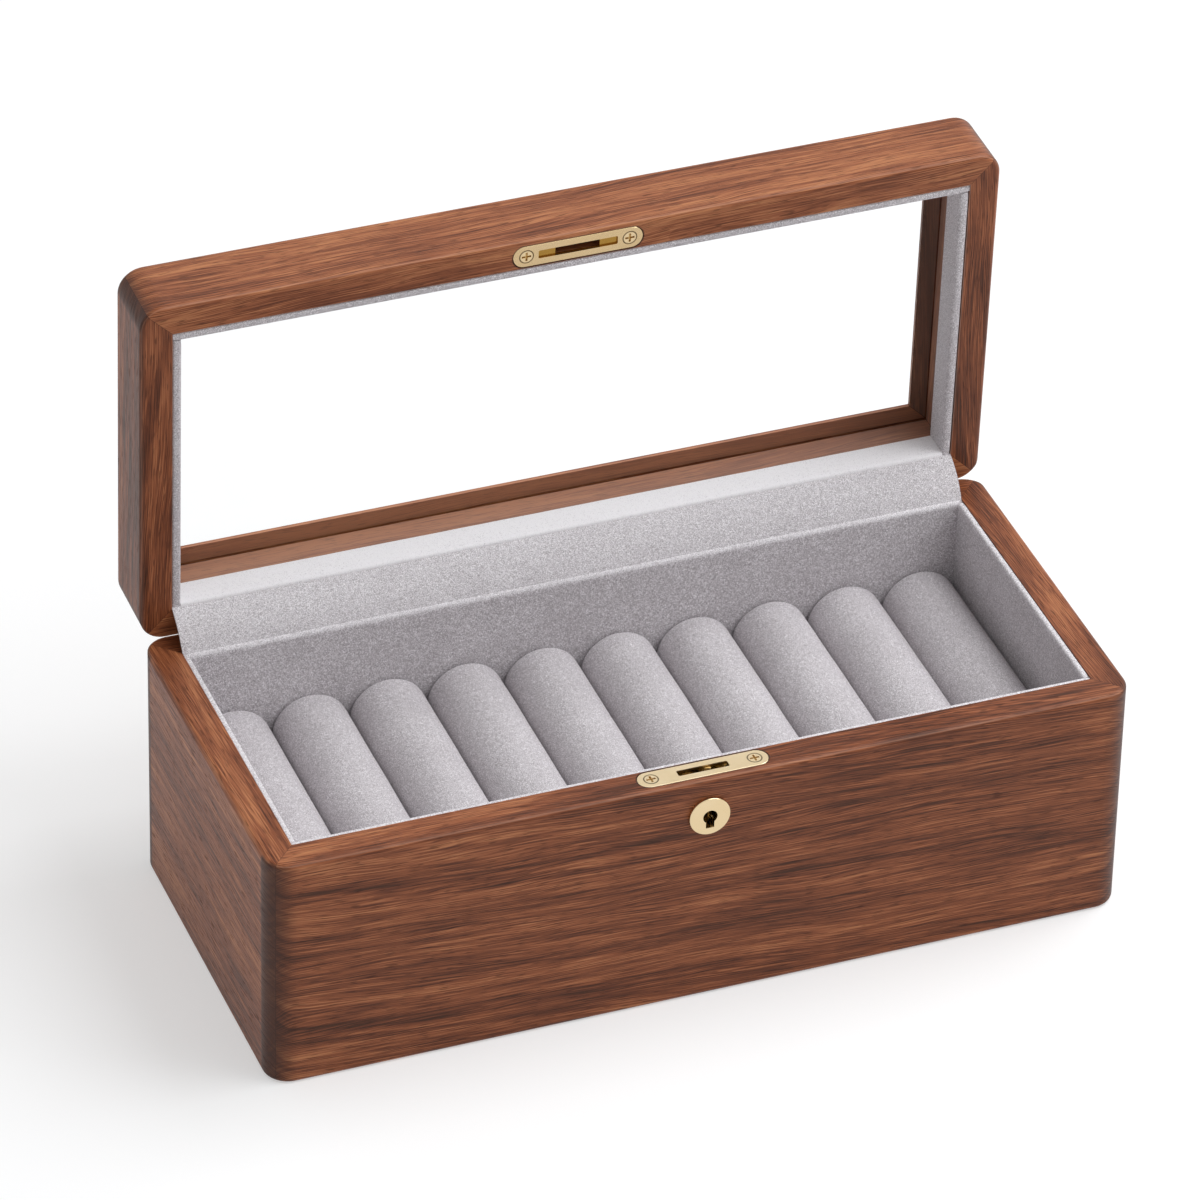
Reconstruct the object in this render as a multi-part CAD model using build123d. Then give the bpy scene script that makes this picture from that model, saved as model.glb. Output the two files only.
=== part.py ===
from build123d import *
import math
import os

# Bangle box: a walnut case with a glazed lid that stands open, velvet-covered linings, ten
# padded rolls that lift out, a mortised lock with a hook bolt, and two stop hinges.
# The origin is the centre of the underside. +X is to the right, +Y is to the back, +Z is up.
# The lid is drawn closed and then turned about the hinge axis to where it stands open.

# Case
box_length = 330.0
box_depth = 146.0
base_height = 97.0
wall = 12.0
corner_radius = 9.5
edge_round = 2.0
hinge_edge_round = 0.4
bottom_thickness = 5.0
bottom_rebate = 6.0
bottom_play = 0.2

# Velvet-covered boards in the base
lining_thickness = 2.2
lining_edge_round = 0.9
lining_set_down = 0.3
floor_lining_thickness = 2.0

# Lid
lid_height = 28.0
lid_gap = 0.4
lid_open_angle = 88.0
lip_thickness = 2.0
lip_overhang = 6.5
lip_edge_round = 0.8
glass_thickness = 2.0
glass_groove = 3.0
glass_play = 0.3
lid_lining_thickness = 3.5
lid_lining_edge_round = 1.2
lid_lining_depth = 12.2
flap_thickness = 0.9
flap_bulge = 1.8
flap_end_gap = 0.3

# Rolls and the scalloped boards that carry them
roll_count = 10
roll_gap = 0.56
roll_top_drop = 27.0
roll_end_gap = 0.4
roll_end_round = 4.0
roll_core_diameter = 16.0
roll_core_cover = 3.0
rest_thickness = 9.0
rest_below_axis = 5.0
rest_clearance = 0.3

# Hinges
hinge_length = 34.0
hinge_from_end = 58.0
hinge_axis_out = -0.3
leaf_width = 9.0
leaf_thickness = 1.2
knuckle_radius = 2.1
knuckle_count = 5
knuckle_gap = 0.2
knuckle_clearance = 0.3
pin_radius = 0.9
pin_clearance = 0.05
heel_length = 4.5
heel_thickness = 1.3
heel_gap = 0.15
mortise_play = 0.1

# Brass screws, one size for both plates and both hinges
screw_head_radius = 2.6
screw_head_height = 1.5
screw_shank_radius = 1.1
screw_length = 8.0
screw_play = 0.12
screw_cross_length = 3.6
screw_cross_width = 0.8
screw_cross_depth = 0.6
hinge_screw_inset = 6.5

# Lock plate on the rim and striker plate in the lid
plate_length = 50.0
plate_width = 9.0
plate_thickness = 1.2
plate_edge_break = 0.25
plate_setback = 7.0
plate_screw_spacing = 39.6
lock_slot_length = 19.5
slot_width = 3.2
slot_corner_radius = 0.6
striker_slot_length = 17.0
striker_recess_length = 30.4
striker_recess_width = 3.4
striker_recess_depth = 0.8
striker_pocket_length = 34.0
striker_pocket_width = 4.6
striker_pocket_depth = 9.0

# Lock case, hook bolt and keyhole
case_length = 33.0
case_thickness = 5.6
case_height = 22.0
case_wall = 1.0
case_face = 0.8
case_play = 0.2
post_radius = 1.6
post_inset = 3.0
bolt_thickness = 2.4
bolt_pivot_from_wall = 3.5
bolt_pivot_drop = 4.5
bolt_pivot_radius = 1.0
bolt_pivot_clearance = 0.05
bolt_hub_radius = 2.6
claw_inner_radius = 7.8
claw_outer_radius = 10.4
claw_tip_angle = 12.0
claw_tail_angle = -72.0
web_end_angle = -50.0
spring_thickness = 0.5
spring_gap = 0.3
spring_foot = 4.0
spring_top_drop = 4.5
key_drop = 15.5
key_post_radius = 0.9
keyhole_radius = 2.75
keyhole_slot_width = 3.2
keyhole_slot_drop = 4.8
keyhole_play = 0.2
escutcheon_radius = 7.85
escutcheon_thickness = 1.6
escutcheon_edge_round = 0.5
spigot_radius = 6.2
spigot_play = 0.1

# Places worked out from the sizes above
inner_length = box_length - 2 * wall
inner_depth = box_depth - 2 * wall
lined_length = inner_length - 2 * lining_thickness
lined_depth = inner_depth - 2 * lining_thickness
front_face_y = -box_depth / 2
back_face_y = box_depth / 2
floor_top_z = bottom_thickness + floor_lining_thickness
lid_bottom_z = base_height + lid_gap
lid_top_z = lid_bottom_z + lid_height
glass_bottom_z = lid_top_z - lip_thickness - glass_thickness
hinge_y = back_face_y + hinge_axis_out
hinge_z = base_height + lid_gap / 2
plate_y = front_face_y + plate_setback
bolt_pivot_offset = case_length / 2 - case_wall - bolt_pivot_from_wall
pivot_z = base_height - bolt_pivot_drop
case_top_z = base_height - plate_thickness
case_front_y = plate_y - case_thickness / 2
case_back_y = plate_y + case_thickness / 2
key_z = base_height - key_drop
roll_pitch = lined_length / roll_count
roll_radius = (roll_pitch - roll_gap) / 2
roll_axis_z = base_height - roll_top_drop - roll_radius
roll_length = lined_depth - 2 * roll_end_gap
# Cutting solids run this far past what they cut
overcut = 1.0
# A rounding takes at most this share of the thickness that it is on
round_share = 0.45

parts = {}


# Plain shapes

def box_between(x_pair, y_pair, z_pair):
    size = [high - low for low, high in (x_pair, y_pair, z_pair)]
    middle = [(high + low) / 2 for low, high in (x_pair, y_pair, z_pair)]
    return Pos(*middle) * Box(*size)


def around(middle, width):
    return (middle - width / 2, middle + width / 2)


def rod(start, axis, radius, length):
    return Solid.make_cylinder(radius, length, Plane(origin=start, z_dir=axis))


def upright_ends_rounded(length, width, low_z, height, y_middle):
    shape = Pos(0, y_middle, low_z) * SlotOverall(length, width)
    return extrude(shape, height)


def upright_corners_rounded(length, width, low_z, height, y_middle):
    shape = Pos(0, y_middle, low_z) * RectangleRounded(length, width, slot_corner_radius)
    return extrude(shape, height)


# A rounded block. Its rim, the end that meets the other half of the box, has a tighter edge at
# the back, where the hinges are. Rim and plain end are counted along Z.

def upright_block(low_z, height, extra_depth):
    outline = RectangleRounded(box_length, box_depth + extra_depth, corner_radius)
    return extrude(Pos(0, extra_depth / 2, low_z) * outline, height)


def round_end(block, end, radius):
    return fillet(block.edges().group_by(Axis.Z)[end], radius)


def rounded_block(low_z, height, rim, plain):
    wide_round = min(edge_round, corner_radius * round_share)
    block = round_end(upright_block(low_z, height, 0), plain, wide_round)
    block = round_end(block, rim, min(hinge_edge_round, wide_round))
    return block & round_end(upright_block(low_z, height, 2 * wide_round), rim, wide_round)


def mitre_wedges(low_z, high_z):
    half_x, half_y = box_length / 2, box_depth / 2
    ridge = half_x - half_y
    corners = {
        "front": [(-half_x, -half_y), (half_x, -half_y), (ridge, 0), (-ridge, 0)],
        "back": [(half_x, half_y), (-half_x, half_y), (-ridge, 0), (ridge, 0)],
        "left": [(-half_x, half_y), (-half_x, -half_y), (-ridge, 0)],
        "right": [(half_x, -half_y), (half_x, half_y), (ridge, 0)],
    }
    wedges = {}
    for side, outline in corners.items():
        face = make_face(Polyline(*outline, close=True))
        wedges[side] = Pos(0, 0, low_z) * extrude(face, high_z - low_z)
    return wedges


def open_lid(shape):
    axis = Axis((0, hinge_y, hinge_z), (1, 0, 0))
    return shape.rotate(axis, -lid_open_angle)


# Countersunk screws with a cross recess. They point down, and the ones in the lid point up.

def screw_body(play):
    head, shank = screw_head_radius + play, screw_shank_radius + play
    profile = Polyline((0, 0), (head, 0), (shank, -screw_head_height), (shank, -screw_length),
                       (0, -screw_length), close=True)
    return revolve(Plane.XZ * make_face(profile), Axis.Z)


def screw():
    arms = [Box(screw_cross_length, screw_cross_width, 2 * screw_cross_depth),
            Box(screw_cross_width, screw_cross_length, 2 * screw_cross_depth)]
    return screw_body(0) - arms


def place_screw(shape, x, y, z, points_up):
    turned = Rot(180, 0, 0) * shape if points_up else shape
    return Pos(x, y, z) * turned


def hinge_screw_spots():
    y = hinge_y - (leaf_width + knuckle_radius + knuckle_clearance) / 2
    for side in (-1, 1):
        middle = side * (box_length / 2 - hinge_from_end)
        for end in (-1, 1):
            yield middle + end * (hinge_length / 2 - hinge_screw_inset), y


def plate_screw_spots():
    for end in (-1, 1):
        yield end * plate_screw_spacing / 2, plate_y


def all_screws(z, points_up, shape):
    spots = list(plate_screw_spots()) + list(hinge_screw_spots())
    return [place_screw(shape, x, y, z, points_up) for x, y in spots]


# Keyhole: a round top with a slot below it, cut along Y

def keyhole_cut(front_y, back_y, play):
    depth = back_y - front_y
    round_part = rod((0, front_y, key_z), (0, 1, 0), keyhole_radius + play, depth)
    slot = box_between(around(0, keyhole_slot_width + 2 * play), (front_y, back_y),
                       (key_z - keyhole_slot_drop - play, key_z))
    return round_part + slot


# Hinge mortise: room for one leaf and for the knuckles, in the board below or the rail above

def hinge_mortises(above):
    cuts = []
    for side in (-1, 1):
        middle = side * (box_length / 2 - hinge_from_end)
        span = around(middle, hinge_length + 2 * mortise_play)
        leaf_z = (lid_bottom_z - overcut, lid_bottom_z + leaf_thickness)
        if not above:
            leaf_z = (base_height - leaf_thickness, base_height + overcut)
        inner_y = hinge_y - leaf_width - mortise_play
        cuts.append(box_between(span, (inner_y, back_face_y + overcut), leaf_z))
        cuts.append(rod((span[0], hinge_y, hinge_z), (1, 0, 0),
                        knuckle_radius + knuckle_clearance, span[1] - span[0]))
    return cuts


# Base

def make_base():
    ring = rounded_block(0, base_height, rim=-1, plain=0)
    ring -= box_between(around(0, inner_length), around(0, inner_depth),
                        (-overcut, base_height + overcut))
    ring -= box_between(around(0, inner_length + 2 * bottom_rebate),
                        around(0, inner_depth + 2 * bottom_rebate), (-overcut, bottom_thickness))
    boards = {side: ring & wedge
              for side, wedge in mitre_wedges(-overcut, base_height + overcut).items()}

    lock_mortise = box_between(around(0, case_length + 2 * case_play),
                               around(plate_y, case_thickness + 2 * case_play),
                               (case_top_z - case_height - case_play, base_height + overcut))
    plate_recess = upright_ends_rounded(plate_length + 2 * mortise_play,
                                        plate_width + 2 * mortise_play,
                                        base_height - plate_thickness, plate_thickness + overcut,
                                        plate_y)
    spigot_hole = rod((0, front_face_y - overcut, key_z), (0, 1, 0), spigot_radius + spigot_play,
                      case_front_y - front_face_y + overcut)
    screw_holes = all_screws(base_height, False, screw_body(screw_play))
    parts["base_front_board"] = (boards["front"] - lock_mortise - plate_recess - spigot_hole
                                 - screw_holes)
    parts["base_back_board"] = boards["back"] - hinge_mortises(False) - screw_holes
    parts["base_left_board"] = boards["left"]
    parts["base_right_board"] = boards["right"]
    parts["base_bottom_panel"] = box_between(
        around(0, inner_length + 2 * bottom_rebate - 2 * bottom_play),
        around(0, inner_depth + 2 * bottom_rebate - 2 * bottom_play), (0, bottom_thickness))


def lining_board(x_pair, y_pair):
    z_pair = (bottom_thickness, base_height - lining_set_down)
    board = box_between(x_pair, y_pair, z_pair)
    along = Axis.X if x_pair[1] - x_pair[0] > y_pair[1] - y_pair[0] else Axis.Y
    rim_edges = board.edges().filter_by(along).group_by(Axis.Z)[-1]
    return fillet(rim_edges, min(lining_edge_round, lining_thickness * round_share))


def make_base_lining():
    half_x, half_y = inner_length / 2, inner_depth / 2
    parts["base_lining_front"] = lining_board((-half_x, half_x),
                                              (-half_y, -half_y + lining_thickness))
    parts["base_lining_back"] = lining_board((-half_x, half_x),
                                             (half_y - lining_thickness, half_y))
    between = around(0, lined_depth)
    parts["base_lining_left"] = lining_board((-half_x, -half_x + lining_thickness), between)
    parts["base_lining_right"] = lining_board((half_x - lining_thickness, half_x), between)
    parts["base_lining_floor"] = box_between(around(0, lined_length), around(0, lined_depth),
                                             (bottom_thickness, floor_top_z))


# Rolls: a wooden core in a padded velvet sleeve, carried in the scallops of two boards

def roll_spots():
    for number in range(roll_count):
        yield number + 1, (number + 0.5) * roll_pitch - lined_length / 2


def roll_rest(y_pair):
    board = box_between(around(0, lined_length), y_pair,
                        (floor_top_z, roll_axis_z - rest_below_axis))
    scallops = [rod((x, y_pair[0] - overcut, roll_axis_z), (0, 1, 0),
                    roll_radius + rest_clearance, rest_thickness + 2 * overcut)
                for number, x in roll_spots()]
    return board - scallops


def make_rolls():
    half_y = lined_depth / 2
    parts["roll_rest_front"] = roll_rest((-half_y, -half_y + rest_thickness))
    parts["roll_rest_back"] = roll_rest((half_y - rest_thickness, half_y))
    core_length = roll_length - 2 * roll_core_cover
    for number, x in roll_spots():
        sleeve = rod((x, -roll_length / 2, roll_axis_z), (0, 1, 0), roll_radius, roll_length)
        sleeve = fillet(sleeve.edges().filter_by(GeomType.CIRCLE),
                        min(roll_end_round, roll_radius * round_share))
        core = rod((x, -core_length / 2, roll_axis_z), (0, 1, 0), roll_core_diameter / 2,
                   core_length)
        parts[f"roll_cover_{number}"] = sleeve - core
        parts[f"roll_core_{number}"] = core


# Lid

def make_lid():
    frame = rounded_block(lid_bottom_z, lid_height, rim=0, plain=-1)
    frame -= box_between(around(0, inner_length), around(0, inner_depth),
                         (lid_bottom_z - overcut, lid_top_z - lip_thickness))
    sight = box_between(around(0, inner_length - 2 * lip_overhang),
                        around(0, inner_depth - 2 * lip_overhang),
                        (lid_bottom_z - overcut, lid_top_z + overcut))
    frame -= sight
    lip_edges = (frame.edges().group_by(Axis.Z)[-1].filter_by(GeomType.LINE)
                 .filter_by(lambda edge: abs(edge.center().X) < inner_length / 2
                            and abs(edge.center().Y) < inner_depth / 2))
    frame = fillet(lip_edges, min(lip_edge_round, lip_thickness * round_share))
    frame -= box_between(around(0, inner_length + 2 * glass_groove),
                         around(0, inner_depth + 2 * glass_groove),
                         (glass_bottom_z, lid_top_z - lip_thickness))
    rails = {side: frame & wedge
             for side, wedge in mitre_wedges(lid_bottom_z - overcut, lid_top_z + overcut).items()}

    plate_recess = upright_ends_rounded(plate_length + 2 * mortise_play,
                                        plate_width + 2 * mortise_play, lid_bottom_z - overcut,
                                        plate_thickness + overcut, plate_y)
    pocket = box_between(around(0, striker_pocket_length), around(plate_y, striker_pocket_width),
                         (lid_bottom_z - overcut, lid_bottom_z + striker_pocket_depth))
    screw_holes = all_screws(lid_bottom_z, True, screw_body(screw_play))
    parts["lid_front_rail"] = open_lid(rails["front"] - plate_recess - pocket - screw_holes)
    parts["lid_back_rail"] = open_lid(rails["back"] - hinge_mortises(True) - screw_holes)
    parts["lid_left_rail"] = open_lid(rails["left"])
    parts["lid_right_rail"] = open_lid(rails["right"])
    parts["lid_glass"] = open_lid(box_between(
        around(0, inner_length + 2 * glass_groove - 2 * glass_play),
        around(0, inner_depth + 2 * glass_groove - 2 * glass_play),
        (glass_bottom_z, glass_bottom_z + glass_thickness)))


def lid_lining_board(x_pair, y_pair):
    board = box_between(x_pair, y_pair, (lid_bottom_z, lid_bottom_z + lid_lining_depth))
    along = Axis.X if x_pair[1] - x_pair[0] > y_pair[1] - y_pair[0] else Axis.Y
    edges = board.edges().filter_by(along).group_by(Axis.Z)[0]
    return open_lid(fillet(edges, min(lid_lining_edge_round, lid_lining_thickness * round_share)))


def make_lid_lining():
    half_x, half_y = inner_length / 2, inner_depth / 2
    parts["lid_lining_front"] = lid_lining_board((-half_x, half_x),
                                                 (-half_y, -half_y + lid_lining_thickness))
    sides_y = (-half_y + lid_lining_thickness, half_y)
    parts["lid_lining_left"] = lid_lining_board((-half_x, -half_x + lid_lining_thickness), sides_y)
    parts["lid_lining_right"] = lid_lining_board((half_x - lid_lining_thickness, half_x), sides_y)
    parts["lid_flap_strip"] = open_lid(box_between(
        around(0, inner_length - 2 * lid_lining_thickness),
        (half_y - flap_thickness, half_y), (lid_bottom_z, lid_bottom_z + lid_lining_depth)))


# Hinge flap: one piece of velvet from the inner edge of the rim to the inner edge of the lid.
# It bows out towards the front while the lid stands open.

def make_hinge_flap():
    reach = hinge_y - inner_depth / 2
    turn = math.radians(lid_open_angle)
    along = Vector(0, -math.cos(turn), math.sin(turn))
    out = Vector(0, math.sin(turn), math.cos(turn))
    pivot = Vector(0, hinge_y, hinge_z)
    lid_edge = pivot + along * reach + out * (lid_gap / 2)
    low_front = Vector(0, inner_depth / 2, base_height)
    low_back = low_front + Vector(0, flap_thickness, 0)
    high_front = lid_edge - out * flap_end_gap
    high_back = high_front - along * flap_thickness
    chord = (high_front - low_front).normalized()
    bow = Vector(0, -chord.Z, chord.Y)
    front_middle = (low_front + high_front) * 0.5 + bow * flap_bulge
    back_middle = front_middle - bow * flap_thickness
    outline = [ThreePointArc(low_front, front_middle, high_front), Line(high_front, high_back),
               ThreePointArc(high_back, back_middle, low_back), Line(low_back, low_front)]
    face = make_face(outline)
    sheet = extrude(face, inner_length, dir=(1, 0, 0))
    parts["hinge_flap"] = Pos(-inner_length / 2, 0, 0) * sheet


# Stop hinges. The knuckles take turns, and the heels behind them meet when the lid is open.

def knuckle_spans(middle, odd):
    pitch = (hinge_length + knuckle_gap) / knuckle_count
    start = middle - hinge_length / 2
    return [(start + n * pitch, start + (n + 1) * pitch - knuckle_gap)
            for n in range(knuckle_count) if (n % 2 == 1) == odd]


def heel_bar(x_pair, low_radius, high_radius):
    return box_between(x_pair, (low_radius, high_radius), (heel_gap, heel_gap + heel_thickness))


def place_heel(bar, for_lid):
    half_turn = lid_open_angle / 2
    if for_lid:
        return Pos(0, hinge_y, hinge_z) * Rot(half_turn, 0, 0) * bar
    return Pos(0, hinge_y, hinge_z) * Rot(-half_turn, 0, 0) * mirror(bar, Plane.XY)


def hinge_leaf(middle, for_lid):
    free = knuckle_radius + knuckle_clearance
    whole = around(middle, hinge_length)
    leaf_z = (base_height - leaf_thickness, base_height)
    if for_lid:
        leaf_z = (lid_bottom_z, lid_bottom_z + leaf_thickness)
    leaf = box_between(whole, (hinge_y - leaf_width, hinge_y - free), leaf_z)
    leaf += place_heel(heel_bar(whole, free, free + heel_length), for_lid)
    for span in knuckle_spans(middle, for_lid):
        width = span[1] - span[0]
        leaf += rod((span[0], hinge_y, hinge_z), (1, 0, 0), knuckle_radius, width)
        leaf += box_between(span, (hinge_y - free - overcut, hinge_y), leaf_z)
        leaf += place_heel(heel_bar(span, pin_radius, free + overcut), for_lid)
    leaf -= rod((whole[0] - overcut, hinge_y, hinge_z), (1, 0, 0), pin_radius + pin_clearance,
                hinge_length + 2 * overcut)
    face_z = lid_bottom_z if for_lid else base_height
    return leaf - [place_screw(screw_body(screw_play), x, y, face_z, for_lid)
                   for x, y in hinge_screw_spots()]


def make_hinges():
    for name, side in (("left", -1), ("right", 1)):
        middle = side * (box_length / 2 - hinge_from_end)
        parts[f"hinge_base_leaf_{name}"] = hinge_leaf(middle, False)
        parts[f"hinge_lid_leaf_{name}"] = open_lid(hinge_leaf(middle, True))
        parts[f"hinge_pin_{name}"] = rod((middle - hinge_length / 2, hinge_y, hinge_z), (1, 0, 0),
                                         pin_radius, hinge_length)


# Plates and their screws

def plate_blank(low_z):
    blank = upright_ends_rounded(plate_length, plate_width, low_z, plate_thickness, plate_y)
    visible = blank.edges().group_by(Axis.Z)[-1 if low_z < base_height else 0]
    return chamfer(visible, min(plate_edge_break, plate_thickness * round_share))


def make_plates():
    lock_plate = plate_blank(base_height - plate_thickness)
    lock_plate -= upright_corners_rounded(lock_slot_length, slot_width, case_top_z - overcut,
                                          plate_thickness + 2 * overcut, plate_y)
    parts["lock_plate"] = lock_plate - all_screws(base_height, False, screw_body(screw_play))

    striker = plate_blank(lid_bottom_z)
    striker -= upright_corners_rounded(striker_recess_length, striker_recess_width,
                                       lid_bottom_z - overcut, striker_recess_depth + overcut,
                                       plate_y)
    striker -= box_between(around(0, striker_slot_length), around(plate_y, slot_width),
                           (lid_bottom_z - overcut, lid_bottom_z + plate_thickness + overcut))
    striker -= all_screws(lid_bottom_z, True, screw_body(screw_play))
    parts["striker_plate"] = open_lid(striker)
    parts["base_brass_screws"] = Compound(children=all_screws(base_height, False, screw()))
    parts["lid_brass_screws"] = open_lid(Compound(children=all_screws(lid_bottom_z, True, screw())))


# Lock: a thin pan closed by a cap, with the bolt on its pivot between them

def make_lock_case():
    low_z = case_top_z - case_height
    outside = box_between(around(0, case_length), (case_front_y, case_back_y - case_face),
                          (low_z, case_top_z))
    hollow = box_between(around(0, case_length - 2 * case_wall),
                         (case_front_y + case_face, case_back_y),
                         (low_z + case_wall, case_top_z + overcut))
    pan = outside - hollow
    post_x = -case_length / 2 + post_inset
    for post_z in (case_top_z - post_inset, low_z + post_inset):
        pan += rod((post_x, case_front_y, post_z), (0, 1, 0), post_radius,
                   case_thickness - case_face)
    pan -= keyhole_cut(case_front_y - overcut, case_front_y + case_face + overcut, keyhole_play)
    parts["lock_case"] = pan
    parts["lock_cap"] = box_between(around(0, case_length), (case_back_y - case_face, case_back_y),
                                    (low_z, case_top_z))
    inside = case_thickness - 2 * case_face
    parts["bolt_pivot_pin"] = rod((bolt_pivot_offset, case_front_y + case_face, pivot_z),
                                  (0, 1, 0), bolt_pivot_radius, inside)
    parts["key_post"] = rod((0, case_front_y, key_z), (0, 1, 0), key_post_radius,
                            case_thickness - case_face)
    leaf_x = bolt_pivot_offset + bolt_hub_radius + spring_gap
    spring = box_between((leaf_x, leaf_x + spring_thickness), around(plate_y, bolt_thickness),
                         (low_z + case_wall, base_height - spring_top_drop))
    spring += box_between((leaf_x - spring_foot, leaf_x), around(plate_y, bolt_thickness),
                          (low_z + case_wall, low_z + case_wall + spring_thickness))
    parts["bolt_spring"] = spring


# Angles of the bolt are measured upwards from the side that faces the middle of the box

def bolt_point(radius, angle):
    turn = math.radians(angle)
    return (bolt_pivot_offset - radius * math.cos(turn), pivot_z + radius * math.sin(turn))


def ring_sector(low_radius, high_radius, low_angle, high_angle):
    mid_angle = (low_angle + high_angle) / 2
    low_arc = ThreePointArc(bolt_point(low_radius, low_angle), bolt_point(low_radius, mid_angle),
                            bolt_point(low_radius, high_angle))
    high_arc = ThreePointArc(bolt_point(high_radius, high_angle),
                             bolt_point(high_radius, mid_angle),
                             bolt_point(high_radius, low_angle))
    outline = [low_arc, Line(low_arc @ 1, high_arc @ 0), high_arc, Line(high_arc @ 1, low_arc @ 0)]
    face = Plane.XZ * make_face(outline)
    back_y = plate_y + bolt_thickness / 2
    return Pos(0, back_y, 0) * extrude(face, bolt_thickness, dir=(0, -1, 0))


def make_hook_bolt():
    hub = rod((bolt_pivot_offset, plate_y - bolt_thickness / 2, pivot_z), (0, 1, 0),
              bolt_hub_radius, bolt_thickness)
    bolt = ring_sector(claw_inner_radius, claw_outer_radius, claw_tail_angle, claw_tip_angle)
    bolt += hub
    bolt += ring_sector(bolt_pivot_radius, claw_inner_radius + overcut, claw_tail_angle,
                        web_end_angle)
    bolt -= rod((bolt_pivot_offset, plate_y - bolt_thickness, pivot_z), (0, 1, 0),
                bolt_pivot_radius + bolt_pivot_clearance, 2 * bolt_thickness)
    parts["hook_bolt"] = bolt


def make_escutcheon():
    disc = rod((0, front_face_y - escutcheon_thickness, key_z), (0, 1, 0), escutcheon_radius,
               escutcheon_thickness)
    outer_edge = disc.edges().filter_by(GeomType.CIRCLE).sort_by(Axis.Y)[0]
    disc = fillet(outer_edge, min(escutcheon_edge_round, escutcheon_thickness * round_share))
    spigot_length = case_front_y - case_play - front_face_y
    disc += rod((0, front_face_y, key_z), (0, 1, 0), spigot_radius, spigot_length)
    disc -= keyhole_cut(front_face_y - escutcheon_thickness - overcut,
                        front_face_y + spigot_length + overcut, 0)
    parts["keyhole_escutcheon"] = disc


make_base()
make_base_lining()
make_rolls()
make_lid()
make_lid_lining()
make_hinge_flap()
make_hinges()
make_plates()
make_lock_case()
make_hook_bolt()
make_escutcheon()

os.makedirs("parts", exist_ok=True)
for name, shape in parts.items():
    export_step(shape, f"parts/{name}.step")
print(len(parts), "sub-parts written")
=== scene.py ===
import bpy
import bmesh
import math
from mathutils import Matrix, Vector, noise


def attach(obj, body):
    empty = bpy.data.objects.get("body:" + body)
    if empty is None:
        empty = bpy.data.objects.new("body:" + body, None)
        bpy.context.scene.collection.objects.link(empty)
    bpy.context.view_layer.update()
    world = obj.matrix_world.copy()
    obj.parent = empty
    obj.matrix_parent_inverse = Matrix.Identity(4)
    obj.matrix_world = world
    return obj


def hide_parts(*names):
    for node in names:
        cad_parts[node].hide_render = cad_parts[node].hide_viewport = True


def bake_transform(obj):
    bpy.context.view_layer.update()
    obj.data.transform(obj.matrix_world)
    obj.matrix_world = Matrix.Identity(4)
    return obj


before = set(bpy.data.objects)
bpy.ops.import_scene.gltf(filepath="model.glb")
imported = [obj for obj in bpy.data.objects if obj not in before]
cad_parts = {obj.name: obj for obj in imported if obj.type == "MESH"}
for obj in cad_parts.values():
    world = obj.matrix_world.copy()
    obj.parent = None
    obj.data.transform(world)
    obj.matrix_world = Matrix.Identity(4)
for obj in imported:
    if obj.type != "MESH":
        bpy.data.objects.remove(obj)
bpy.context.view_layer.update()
print("frame loaded:", len(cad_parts), "nodes")

mm = 0.001
metresToMm = (1000, 1000, 1000)  # scale that gives a pattern its place in mm

# Sizes of the case in mm, the same as the CAD ones
case = dict(
    innerLength=306.0, innerDepth=122.0, baseHeight=97.0, floorTop=5.0,
    liningThickness=2.2, liningSetDown=0.3, floorLiningThickness=2.0,
    lidBottom=97.4, lidTop=125.4, lidLiningThickness=3.5, lidLiningDepth=12.2,
    hingeY=72.7, hingeZ=97.2, openAngle=88.0,
    halfLength=165.0, halfDepth=73.0, cornerRadius=9.0,
)


def toLinear(hexText):  # "#rrggbb" as seen on screen to the linear colour that shaders take
    channels = [int(hexText[i:i + 2], 16) / 255 for i in (1, 3, 5)]
    return tuple(c / 12.92 if c <= 0.04045 else ((c + 0.055) / 1.055) ** 2.4
                 for c in channels) + (1.0,)


def addNode(tree, kind, inputs=None, stops=None, **settings):  # one node, its settings and its links
    node = tree.nodes.new("ShaderNode" + kind)
    for key, value in settings.items():
        setattr(node, key, value)
    for key, value in (inputs or {}).items():
        if isinstance(value, bpy.types.NodeSocket):
            tree.links.new(value, node.inputs[key])
        else:
            node.inputs[key].default_value = value
    if stops:  # colour ramp: (place, hex colour) from dark to light
        ramp = node.color_ramp
        while len(ramp.elements) < len(stops):
            ramp.elements.new(0.5)
        for element, (place, colour) in zip(ramp.elements, stops):
            element.position, element.color = place, toLinear(colour)
    return node


def startMaterial(name):  # empty material with its output node
    material = bpy.data.materials.new(name)
    material.use_nodes = True
    material.node_tree.nodes.clear()
    return material, material.node_tree, addNode(material.node_tree, "OutputMaterial")


def closedLidMatrix():  # turns the open lid back to where it is closed, in mm
    hinge = Vector((0, case["hingeY"], case["hingeZ"]))
    turn = Matrix.Rotation(math.radians(case["openAngle"]), 3, "X")
    return turn, hinge - turn @ hinge


def openLidPlace():  # carries what is drawn on the closed lid to the open one, in mm
    turn, move = closedLidMatrix()
    return (Matrix.Translation(move) @ turn.to_4x4()).inverted()


def placeOnCase(tree, place, onLid):  # where a point is in mm once the lid is closed
    turn, move = closedLidMatrix()
    return addNode(tree, "Mapping", {
        "Vector": place.outputs["Object"], "Scale": metresToMm,
        "Rotation": turn.to_euler() if onLid else (0, 0, 0),
        "Location": move if onLid else (0, 0, 0)})


# The two lock plates and their screws, in mm, for the painted shade round them
lockFitting = dict(length=50.0, width=9.0, setBack=66.0, screwApart=19.8, screwRadius=2.6,
                   # the gap's painted shade: where it ends and starts, how dark, and how deep below the rim
                   # it fades
                   gapShade=0.55, gapShadeStart=0.1, gapShadeShare=0.85, gapShadeDepth=(1.5, 2.0))


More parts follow.
